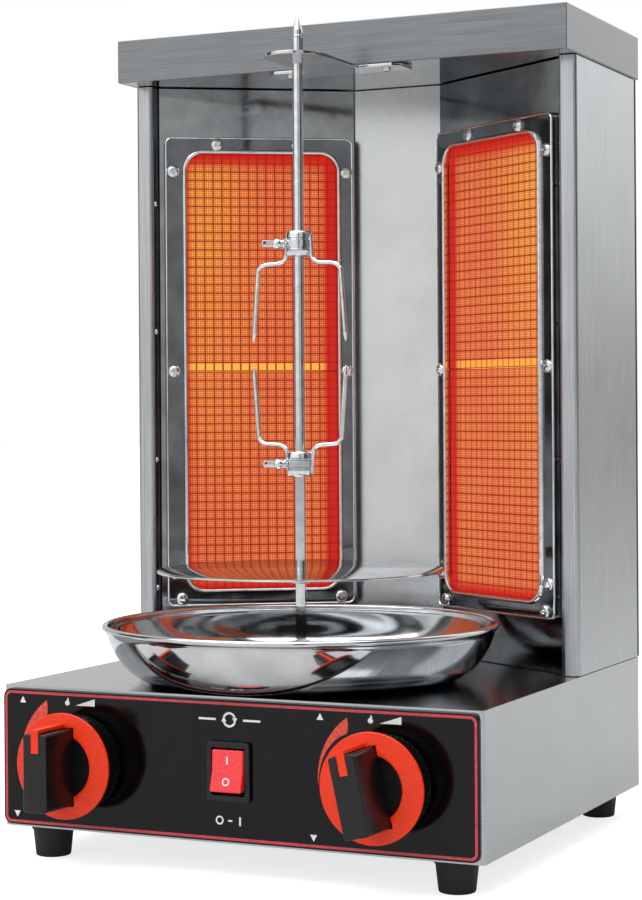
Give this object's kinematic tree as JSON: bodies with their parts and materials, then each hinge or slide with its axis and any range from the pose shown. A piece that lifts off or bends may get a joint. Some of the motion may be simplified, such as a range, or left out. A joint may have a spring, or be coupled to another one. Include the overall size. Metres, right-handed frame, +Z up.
{
  "type": "vertical rotisserie broiler",
  "caption": "Table-top vertical broiler with a turning skewer, drip pan and upright infrared gas burners in a steel tower.",
  "frame": {"origin": "on the table, under the middle of the whole outline", "axes": "+Z up, +Y from the control panel towards the back, +X to the right as seen from the front"},
  "size_m": [0.2826, 0.334, 0.4647],
  "materials": {
    "cabinet_steel": "finely brushed stainless steel sheet",
    "mirror_steel": "polished stainless steel sheet",
    "chrome_plate": "bright chrome plating",
    "zinc_steel": "zinc-plated steel",
    "cast_alloy": "sand-blasted casting",
    "gas_brass": "machined brass",
    "burner_ceramic": "perforated cordierite, glowing",
    "panel_black": "glossy black control plate",
    "knob_black": "moulded phenolic",
    "knob_red": "moulded orange-red plastic",
    "foot_rubber": "moulded rubber"
  },
  "bodies": {
    "root": {"base_housing": "cabinet_steel", "base_bottom_plate": "zinc_steel", "foot_front_left": "foot_rubber", "foot_front_right": "foot_rubber", "foot_rear_left": "foot_rubber", "foot_rear_right": "foot_rubber", "control_panel": "panel_black", "rocker_switch_body": "knob_black", "gas_manifold": "zinc_steel", "gas_inlet_nipple": "gas_brass", "cable_gland": "knob_black", "rear_cover": "cabinet_steel", "centre_reflector": "mirror_steel", "roof_cap": "cabinet_steel", "ceiling_plate": "mirror_steel", "skewer_top_bracket": "mirror_steel", "left_side_panel": "cabinet_steel", "left_gas_valve": "cast_alloy", "left_gas_pipe": "zinc_steel", "left_gas_injector": "gas_brass", "left_mixing_tube": "zinc_steel", "left_burner_panel": "mirror_steel", "left_burner_frame": "chrome_plate", "left_upper_tile": "burner_ceramic", "left_lower_tile": "burner_ceramic", "left_burner_box": "zinc_steel", "right_side_panel": "cabinet_steel", "right_gas_valve": "cast_alloy", "right_gas_pipe": "zinc_steel", "right_gas_injector": "gas_brass", "right_mixing_tube": "zinc_steel", "right_burner_panel": "mirror_steel", "right_burner_frame": "chrome_plate", "right_upper_tile": "burner_ceramic", "right_lower_tile": "burner_ceramic", "right_burner_box": "zinc_steel", "gear_motor": "cast_alloy", "motor_bracket": "zinc_steel", "spindle_bush": "gas_brass"},
    "spindle": {"drive_spindle": "zinc_steel"},
    "skewer": {"skewer_rod": "chrome_plate", "disc_collar": "chrome_plate"},
    "disc": {"meat_disc": "mirror_steel"},
    "upper_fork": {"upper_fork": "chrome_plate"},
    "upper_screw": {"upper_thumb_screw": "chrome_plate"},
    "lower_fork": {"lower_fork": "chrome_plate"},
    "lower_screw": {"lower_thumb_screw": "chrome_plate"},
    "pan": {"drip_pan": "mirror_steel"},
    "switch_rocker": {"rocker": "knob_red"},
    "left_push": {"left_valve_spring_seat": "zinc_steel"},
    "left_knob": {"left_knob_body": "knob_black", "left_knob_ring": "knob_red", "left_knob_index": "knob_red", "left_valve_stem": "gas_brass"},
    "right_push": {"right_valve_spring_seat": "zinc_steel"},
    "right_knob": {"right_knob_body": "knob_black", "right_knob_ring": "knob_red", "right_knob_index": "knob_red", "right_valve_stem": "gas_brass"}
  },
  "joints": [
    {"name": "spindle_spin", "type": "hinge", "parent": "root", "child": "spindle", "pos_m": [0, -0.033, 0.06], "axis": [0, 0, 1], "continuous": true},
    {"name": "skewer_lift", "type": "slide", "parent": "spindle", "child": "skewer", "axis": [0, 0, 1], "range_m": [0, 0.02]},
    {"name": "disc_lift", "type": "slide", "parent": "skewer", "child": "disc", "axis": [0, 0, 1], "range_m": [0, 0.025]},
    {"name": "upper_fork_slide", "type": "slide", "parent": "skewer", "child": "upper_fork", "axis": [0, 0, 1], "range_m": [-0.005, 0.06]},
    {"name": "upper_screw_turn", "type": "hinge", "parent": "upper_fork", "child": "upper_screw", "pos_m": [0, -0.033, 0.335], "axis": [-0.848, -0.5299, 0], "range_deg": [0, 360]},
    {"name": "lower_fork_slide", "type": "slide", "parent": "skewer", "child": "lower_fork", "axis": [0, 0, 1], "range_m": [-0.02, 0.005]},
    {"name": "lower_screw_turn", "type": "hinge", "parent": "lower_fork", "child": "lower_screw", "pos_m": [0, -0.033, 0.2131], "axis": [-0.848, -0.5299, 0], "range_deg": [0, 360]},
    {"name": "pan_lift", "type": "slide", "parent": "root", "child": "pan", "axis": [0, 0, 1], "range_m": [0, 0.03]},
    {"name": "rocker_press", "type": "hinge", "parent": "root", "child": "switch_rocker", "pos_m": [0, -0.1197, 0.05575], "axis": [1, 0, 0], "range_deg": [0, 18]},
    {"name": "left_knob_push", "type": "slide", "parent": "root", "child": "left_push", "axis": [0, 1, 0], "range_m": [0, 0.003], "stiffness_N_per_m": 600, "springref_m": -0.003},
    {"name": "left_knob_turn", "type": "hinge", "parent": "left_push", "child": "left_knob", "pos_m": [-0.089, -0.14, 0.05575], "axis": [0, -1, 0], "range_deg": [0, 180]},
    {"name": "right_knob_push", "type": "slide", "parent": "root", "child": "right_push", "axis": [0, 1, 0], "range_m": [0, 0.003], "stiffness_N_per_m": 600, "springref_m": -0.003},
    {"name": "right_knob_turn", "type": "hinge", "parent": "right_push", "child": "right_knob", "pos_m": [0.089, -0.14, 0.05575], "axis": [0, -1, 0], "range_deg": [-12.5, 167.5]}
  ]
}
